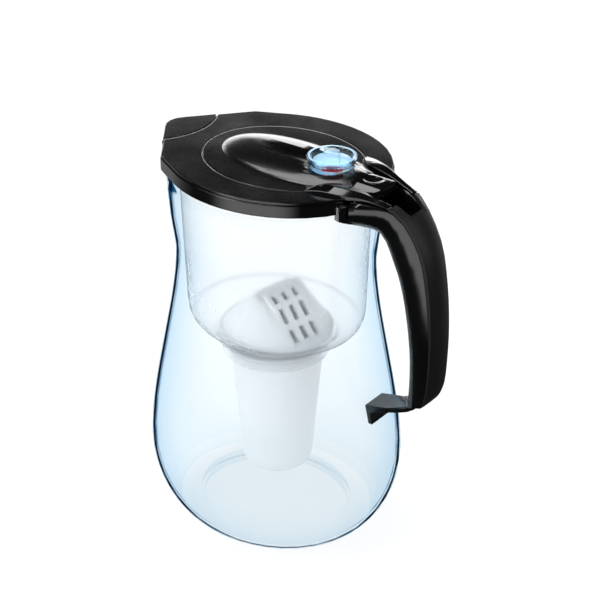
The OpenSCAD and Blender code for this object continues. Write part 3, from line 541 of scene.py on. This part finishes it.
# tint and haze: the wall seen face on; low and high: near the foot and the mouth; paintedTurnShade: painted
# shade as the wall turns away
# line: Facing where the painted shade line at the wall's edge starts, is full, falls and ends; edge: the
# painted line's tone
# paintedStripes: height, half width and share of each painted shade line where a fine edge of the moulding
# shows through the wall
clearFinishes = {
    "clearJug": {
        "tint": (0.89, 0.925, 0.945), "haze": (0.865, 0.91, 0.935),
        "high": (0.97, 0.985, 0.99), "low": (0.82, 0.9, 0.935), "paintedTurnShade": (0.7, 0.83, 0.92),
        "line": (0.76, 0.8, 0.88, 0.9), "edge": (0.0004, 0.01, 0.03),
        "rough": 0.0, "smears": 0.0, "ior": 1.0, "coat": 0.3, "bump": 0.0004,
        "paintedStripes": ((0.2512, 0.0004, 0.3), (0.2486, 0.0004, 0.15)),
    },
    "jugInner": {
        "tint": (0.93, 0.95, 0.965), "haze": (0.91, 0.94, 0.96),
        "high": (0.98, 0.99, 0.995), "low": (0.88, 0.925, 0.955), "paintedTurnShade": (0.78, 0.88, 0.95),
        "line": (0.84, 0.9, 0.99, 1.0), "edge": (0.35, 0.5, 0.66),
        "rough": 0.0, "smears": 0.0, "ior": 1.0, "coat": 0.3, "bump": 0.0004,
    },
    "jugFoot": {
        "tint": (0.95, 0.97, 0.985), "haze": (0.94, 0.965, 0.98),
        "low": (0.93, 0.96, 0.975), "paintedTurnShade": (0.86, 0.92, 0.96),
        "line": (0.985, 1.0, 1.1, 1.2), "edge": (0.2, 0.35, 0.5),
        "rough": 0.0, "smears": 0.0, "ior": 1.0, "coat": 0.0, "bump": 0.0004,
    },
    "clearHopper": {
        "tint": (0.995, 0.998, 1.0), "haze": (0.985, 0.99, 0.995),
        "low": (0.985, 0.99, 0.995), "paintedTurnShade": (0.95, 0.965, 0.975),
        "line": (0.8, 0.92, 1.1, 1.2), "edge": (0.12, 0.16, 0.2),
        "rough": 0.27, "smears": 0.05, "ior": 1.06, "coat": 0.3, "bump": 0.00005,
        "veil": 0.03, "veilTone": (0.96, 0.975, 0.985),
        "paintedStripes": ((0.1503, 0.0006, 0.5), (0.1313, 0.0004, 0.4), (0.1265, 0.0004, 0.4)),
    },
    "blueFloor": {
        "tint": (0.7, 0.87, 1.0), "haze": (0.66, 0.84, 0.98),
        "low": (0.7, 0.87, 1.0), "paintedTurnShade": (0.7, 0.87, 1.0),
        "line": (0.9, 0.95, 1.1, 1.2), "edge": (0.1, 0.2, 0.4),
        "rough": 0.1, "smears": 0.02, "ior": 1.06, "coat": 0.5, "bump": 0.0001,
        "veil": 0.5, "veilTone": (0.42, 0.66, 0.85),
    },
    "clearBlue": {
        "tint": (0.8, 0.93, 1.0), "haze": (0.72, 0.88, 0.98),
        "low": (0.8, 0.93, 1.0), "paintedTurnShade": (0.5, 0.75, 0.95),
        "line": (0.8, 0.92, 1.1, 1.2), "edge": (0.02, 0.08, 0.2),
        "rough": 0.0, "smears": 0.01, "ior": 1.06, "coat": 0.6, "bump": 0.0001,
        "mark": {"turn": 308, "side": (0.0098, 0.0101), "half": 0.0066, "low": 0.2685, "high": 0.2715,
                 "endSoft": 0.0005, "rimSoft": 0.0003, "tone": (0.5, 0.03, 0.045, 1), "share": 0.85},
    },
}
lowFade = (0.16, 0.0)  # heights over which the low tone comes in
highFade = (0.14, 0.22)
paintedTurnShadeStart = 0.3  # Facing from which the painted turn-away shade comes in


def paintMark(tree, shader, s):
    # a short red arc low on the knob's side
    turn = math.radians(s["turn"])
    spot = tree.nodes.new("ShaderNodeVectorMath")
    spot.operation = "SUBTRACT"
    spot.inputs[1].default_value = (*dialAxis, 0)
    link(tree, objectPlace(tree), spot.inputs[0])
    outward = dotNode(tree, spot.outputs[0], (math.cos(turn), math.sin(turn), 0))
    aside = dotNode(tree, spot.outputs[0], (math.sin(turn), -math.cos(turn), 0))
    across = mathNode(tree, "ABSOLUTE", aside)
    height = splitNode(tree, spot.outputs[0])["Z"]
    mask = times(tree, rangeNode(tree, outward, *s["side"]),
                 rangeNode(tree, across, s["half"], s["half"] - s["endSoft"]))
    mask = times(tree, mask, rangeNode(tree, height, s["low"], s["low"] + s["rimSoft"]))
    mask = times(tree, mask, rangeNode(tree, height, s["high"], s["high"] - s["rimSoft"]))
    paint = tree.nodes.new("ShaderNodeBsdfDiffuse")
    paint.inputs["Color"].default_value = s["tone"]
    return mixShaders(tree, times(tree, mask, s["share"]), shader.outputs[0], paint.outputs[0])


def makeClear(name, s):
    material, tree, shader = newMaterial(name)
    shader.inputs["Transmission Weight"].default_value = 1.0
    shader.inputs["IOR"].default_value = s["ior"]
    shader.inputs["Coat Roughness"].default_value = coatRough
    surface = tree.nodes.new("ShaderNodeGroup")
    surface.node_tree = clear
    surface.inputs["Tint"].default_value = (*s["tint"], 1)
    surface.inputs["Haze"].default_value = (*s["haze"], 1)
    surface.inputs["Roughness"].default_value = s["rough"]
    surface.inputs["Smears"].default_value = s["smears"]
    link(tree, surface.outputs["Roughness"], shader.inputs["Roughness"])
    addBump(tree, shader, surface.outputs["Height"], s["bump"], waveStrength)

    height = splitNode(tree, objectPlace(tree))["Z"]
    weight = tree.nodes.new("ShaderNodeLayerWeight")
    weight.inputs["Blend"].default_value = 0.5
    facing = weight.outputs["Facing"]
    # painted shade line along the wall's silhouette, drawn from Facing in place of what refraction shows
    # there
    start, full, fall, end = s["line"]
    line = times(tree, rangeNode(tree, facing, start, full), rangeNode(tree, facing, end, fall))
    # painted shade lines at the heights where edges behind the wall show through
    for middle, half, share in s.get("paintedStripes", ()):
        away = mathNode(tree, "ABSOLUTE", mathNode(tree, "SUBTRACT", height, middle))
        line = mathNode(tree, "MAXIMUM", line, rangeNode(tree, away, half, half * 0.3, 0, share))
    tone = mixColours(tree, rangeNode(tree, height, *lowFade), surface.outputs["Color"], (*s["low"], 1))
    if "high" in s:
        tone = mixColours(tree, rangeNode(tree, height, *highFade), tone, (*s["high"], 1))
    # painted shade as the wall turns away from the view
    tone = mixColours(tree, rangeNode(tree, facing, paintedTurnShadeStart, start), tone, (*s["paintedTurnShade"], 1))
    # the painted shade lines darken the base colour toward the edge tone
    link(tree, mixColours(tree, line, tone, (*s["edge"], 1)), shader.inputs["Base Color"])
    if s["coat"]:
        link(tree, rangeNode(tree, line, 0, 0.5, s["coat"], 0), shader.inputs["Coat Weight"])

    if "mark" in s:
        link(tree, paintMark(tree, shader, s["mark"]), tree.nodes["Material Output"].inputs[0])
    if "veil" in s:
        # the milky share of the moulding
        cloud = tree.nodes.new("ShaderNodeBsdfDiffuse")
        cloud.inputs["Color"].default_value = (*s["veilTone"], 1)
        milky = mixShaders(tree, s["veil"], shader.outputs[0], cloud.outputs[0])
        link(tree, milky, tree.nodes["Material Output"].inputs[0])
    return material


def makeSteel():
    # drawn wire, with fine lines along Y
    material, tree, shader = newMaterial("steel")
    shader.inputs["Metallic"].default_value = 1.0
    lines = noiseNode(tree, stretchNode(tree, objectPlace(tree), (3000, 200, 3000)), 1.0, 2.0)
    tone = mixColours(tree, lines, (0.55, 0.56, 0.58, 1), (0.72, 0.73, 0.75, 1))
    link(tree, tone, shader.inputs["Base Color"])
    link(tree, rangeNode(tree, lines, 0.3, 0.7, 0.22, 0.38), shader.inputs["Roughness"])
    addBump(tree, shader, lines, 0.00001)
    return material


def makeGrains():
    # mixed granules: pale beads with a share of dark ones
    material, tree, shader = newMaterial("filterGrains")
    cells = tree.nodes.new("ShaderNodeTexVoronoi")
    cells.inputs["Scale"].default_value = 900
    link(tree, objectPlace(tree), cells.inputs["Vector"])
    split = tree.nodes.new("ShaderNodeSeparateColor")
    link(tree, cells.outputs["Color"], split.inputs[0])
    dark = rangeNode(tree, split.outputs[0], 0.6, 0.62)
    tone = mixColours(tree, dark, (0.82, 0.8, 0.74, 1), (0.03, 0.03, 0.03, 1))
    link(tree, tone, shader.inputs["Base Color"])
    link(tree, rangeNode(tree, split.outputs[1], 0.0, 1.0, 0.5, 0.9), shader.inputs["Roughness"])
    addBump(tree, shader, cells.outputs["Distance"], 0.0005).invert = True
    return material


def makeFelt():
    material, tree, shader = newMaterial("felt")
    shader.inputs["Sheen Weight"].default_value = 0.3
    fibre = noiseNode(tree, objectPlace(tree), 1400, 6.0, 0.75)
    tone = mixColours(tree, fibre, (0.62, 0.62, 0.6, 1), (0.88, 0.88, 0.86, 1))
    link(tree, tone, shader.inputs["Base Color"])
    link(tree, rangeNode(tree, fibre, 0.3, 0.7, 0.8, 0.98), shader.inputs["Roughness"])
    addBump(tree, shader, fibre, 0.0002)
    return material


finishes = {name: makePlastic(name, s) for name, s in plasticFinishes.items()}
finishes.update({name: makeClear(name, s) for name, s in clearFinishes.items()})
finishes["steel"] = makeSteel()
finishes["filterGrains"] = makeGrains()
finishes["felt"] = makeFelt()
print("finishes made:", len(finishes))


# each seen piece is a finished copy of its node; sharp is in degrees, and edge rounds its edges
nodePieces = {
    "jug": {"name": "jugShell", "finish": "clearJug", "sharp": 40},
    "hopper": {"name": "hopperShell", "finish": "clearHopper", "flat": 0.05},
    "cartridge_cup": {"name": "cartridgeCup", "finish": "whitePlastic", "edge": 0.0003},
    "cartridge_cap": {"name": "cartridgeCap", "finish": "greyPlastic", "edge": 0.0003, "sharp": 30},
    "lid_plate": {"name": "lidPlate", "finish": "satinBlack", "edge": 0.0003},
    "lid_skirt": {"name": "lidSkirt", "finish": "glossBlack", "edge": 0.0005},
    "left_wing": {"name": "leftWing", "finish": "glossBlack", "edge": 0.0003},
    "right_wing": {"name": "rightWing", "finish": "glossBlack", "edge": 0.0003},
    "hatch_frame": {"name": "hatchFrame", "finish": "satinBlack", "edge": 0.0003},
    "hatch_dome": {"name": "hatchDome", "finish": "domeBlack", "sharp": 30},
    "dial_knob": {"name": "dialKnob", "finish": "clearBlue", "edge": 0.0002},
    "spout_flap": {"name": "spoutFlap", "finish": "satinBlack", "edge": 0.0003},
    "handle_core": {"name": "handleCore", "finish": "glossBlack"},
    "handle_cover": {"name": "handleCover", "finish": "softBlack"},
}


def takeNode(node, flat):
    # a merged copy of a node's mesh, with faces joined that lie within this angle of flat
    bm = bmesh.new()
    bm.from_mesh(frame["nodes"][node].data)
    bmesh.ops.remove_doubles(bm, verts=bm.verts, dist=0.000002)
    bmesh.ops.dissolve_degenerate(bm, edges=bm.edges, dist=0.000001)
    bmesh.ops.dissolve_limit(bm, angle_limit=math.radians(flat), verts=bm.verts, edges=bm.edges)
    return bm


def softenEdges(piece, width, angle=30, segments=3):
    bevel = piece.modifiers.new("edges", "BEVEL")
    bevel.width = width
    bevel.segments = segments
    bevel.limit_method = "ANGLE"
    bevel.angle_limit = math.radians(angle)
    bevel.harden_normals = True
    bevel.use_clamp_overlap = True


def addPiece(node, s):
    bm = takeNode(node, s.get("flat", 0.6))
    mesh = bpy.data.meshes.new(s["name"])
    bm.to_mesh(mesh)
    bm.free()
    mesh.materials.append(finishes[s["finish"]])
    mesh.shade_smooth()
    mesh.set_sharp_from_angle(angle=math.radians(s.get("sharp", 35)))
    piece = bpy.data.objects.new(s["name"], mesh)
    bpy.context.scene.collection.objects.link(piece)
    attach(piece, frame["nodes"][node]["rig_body"])
    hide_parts(node)
    if "edge" in s:
        softenEdges(piece, s["edge"])
    return piece


jugSet = {
    "footTop": 0.0125,  # the hollow foot ends here inside
    "footSide": 0.009,  # and here outside
    "manyCorners": 12,
    "level": 0.9,
}


def dressJug(piece, s):
    # the inner wall and the hollow foot have finishes of their own, and whole flat faces stay flat
    piece.data.materials.append(finishes["jugInner"])
    piece.data.materials.append(finishes["jugFoot"])
    for face in piece.data.polygons:
        middle, normal = face.center, face.normal
        if len(face.vertices) > s["manyCorners"]:
            face.use_smooth = False
        inward = middle.x * normal.x + middle.y * normal.y < 0 or abs(normal.z) > s["level"]
        if middle.z < (s["footTop"] if inward else s["footSide"]):
            face.material_index = 2
        elif inward:
            face.material_index = 1


knobSet = {"recess": 0.0113, "floor": 0.2695}  # the recess's radius, and a height just below its floor


def dressKnob(piece, s):
    # the floor of the knob's recess and the grip on it are a milky blue
    piece.data.materials.append(finishes["blueFloor"])
    for face in piece.data.polygons:
        middle = face.center
        away = math.hypot(middle.x - dialAxis[0], middle.y - dialAxis[1])
        if middle.z > s["floor"] and away < s["recess"]:
            face.material_index = 1


made = {node: addPiece(node, s) for node, s in nodePieces.items()}
dressJug(made["jug"], jugSet)
dressKnob(made["dial_knob"], knobSet)

keptNodes = {
    "handle_screw": "steel", "hatch_pin": "steel", "flap_pins": "glossBlack", "hatch_liner": "satinBlack",
    "cartridge_seal": "sealRubber", "filter_media": "filterGrains", "top_pad": "felt", "bottom_pad": "felt",
    "dial_base": "paleBluePlastic", "dial_mark": "redMark", "dial_clip": "whitePlastic",
}
for node, finish in keptNodes.items():
    frame["nodes"][node].data.materials.clear()
    frame["nodes"][node].data.materials.append(finishes[finish])
print("pieces finished:", len(made), "and kept:", len(keptNodes))
